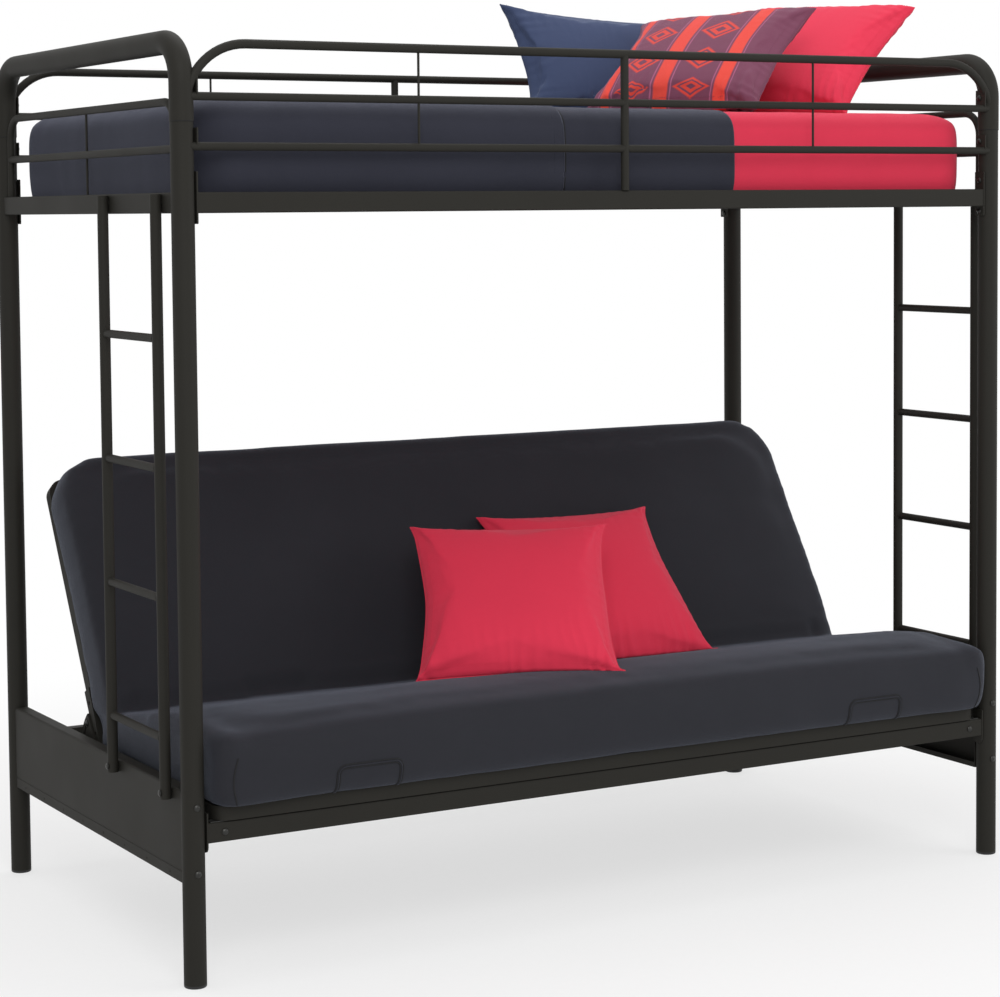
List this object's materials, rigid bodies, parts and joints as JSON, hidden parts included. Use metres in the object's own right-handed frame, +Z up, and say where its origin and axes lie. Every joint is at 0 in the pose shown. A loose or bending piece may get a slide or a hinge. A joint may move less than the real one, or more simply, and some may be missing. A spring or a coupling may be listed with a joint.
{
  "type": "bunk bed",
  "caption": "Metal bunk bed for one sleeper above with guard rails and end ladders, over a futon sofa whose seat slides forward and whose back folds flat.",
  "frame": {"origin": "on the floor below the middle of the four posts", "axes": "+Z up, +X to the right along the bed, +Y to the rear, so the sofa faces -Y"},
  "size_m": [2.0368, 1.0908, 1.9743],
  "materials": {
    "powder_coat": "dark warm grey powder coat, low sheen",
    "zinc_steel": "blackened zinc",
    "black_plastic": "moulded black plastic",
    "glide_nylon": "natural nylon",
    "futon_cloth": "dark charcoal twill",
    "crimson_cloth": "plain crimson weave",
    "navy_cloth": "dark navy cotton",
    "blue_cloth": "plain blue cotton",
    "patterned_cloth": "plum ground with orange-red print"
  },
  "bodies": {
    "frame": {"front_left_post": "powder_coat", "front_right_post": "powder_coat", "rear_left_post": "powder_coat", "rear_right_post": "powder_coat", "left_end_hoop": "powder_coat", "right_end_hoop": "powder_coat", "left_upper_end_rail": "powder_coat", "right_upper_end_rail": "powder_coat", "left_end_guard": "powder_coat", "right_end_guard": "powder_coat", "left_end_panel": "powder_coat", "right_end_panel": "powder_coat", "left_ladder": "powder_coat", "right_ladder": "powder_coat", "left_futon_track": "powder_coat", "right_futon_track": "powder_coat", "front_guard_rail": "powder_coat", "rear_guard_rail": "powder_coat", "front_side_rail": "powder_coat", "rear_side_rail": "powder_coat", "front_stretcher": "powder_coat", "rear_stretcher": "powder_coat", "bunk_slats": "powder_coat", "panel_bolts": "zinc_steel", "rail_bolts": "zinc_steel", "guard_bolts": "zinc_steel", "ladder_bolts": "zinc_steel", "track_bolts": "zinc_steel", "foot_caps": "black_plastic", "stretcher_pads": "glide_nylon", "upper_mattress": "crimson_cloth", "crimson_pillow": "crimson_cloth", "duvet": "navy_cloth", "blanket": "navy_cloth", "blue_pillow": "blue_cloth", "patterned_pillow": "patterned_cloth"},
    "seat": {"seat_frame": "powder_coat", "seat_mesh": "powder_coat", "left_hinge_plate": "powder_coat", "right_hinge_plate": "powder_coat", "pivot_pins": "zinc_steel", "hinge_plate_bolts": "zinc_steel", "seat_glides": "glide_nylon", "seat_mattress": "futon_cloth", "front_cushion": "crimson_cloth", "rear_cushion": "crimson_cloth"},
    "back": {"back_frame": "powder_coat", "back_mesh": "powder_coat", "left_back_arm": "powder_coat", "right_back_arm": "powder_coat", "stop_pins": "zinc_steel", "back_mattress": "futon_cloth"}
  },
  "joints": [
    {"name": "seat_slide", "type": "slide", "parent": "frame", "child": "seat", "axis": [0, -1, 0], "range_m": [0, 0.36]},
    {"name": "back_recline", "type": "hinge", "parent": "seat", "child": "back", "pos_m": [0, 0.103, 0.332], "axis": [-1, 0, 0], "range_deg": [0, 60]}
  ]
}
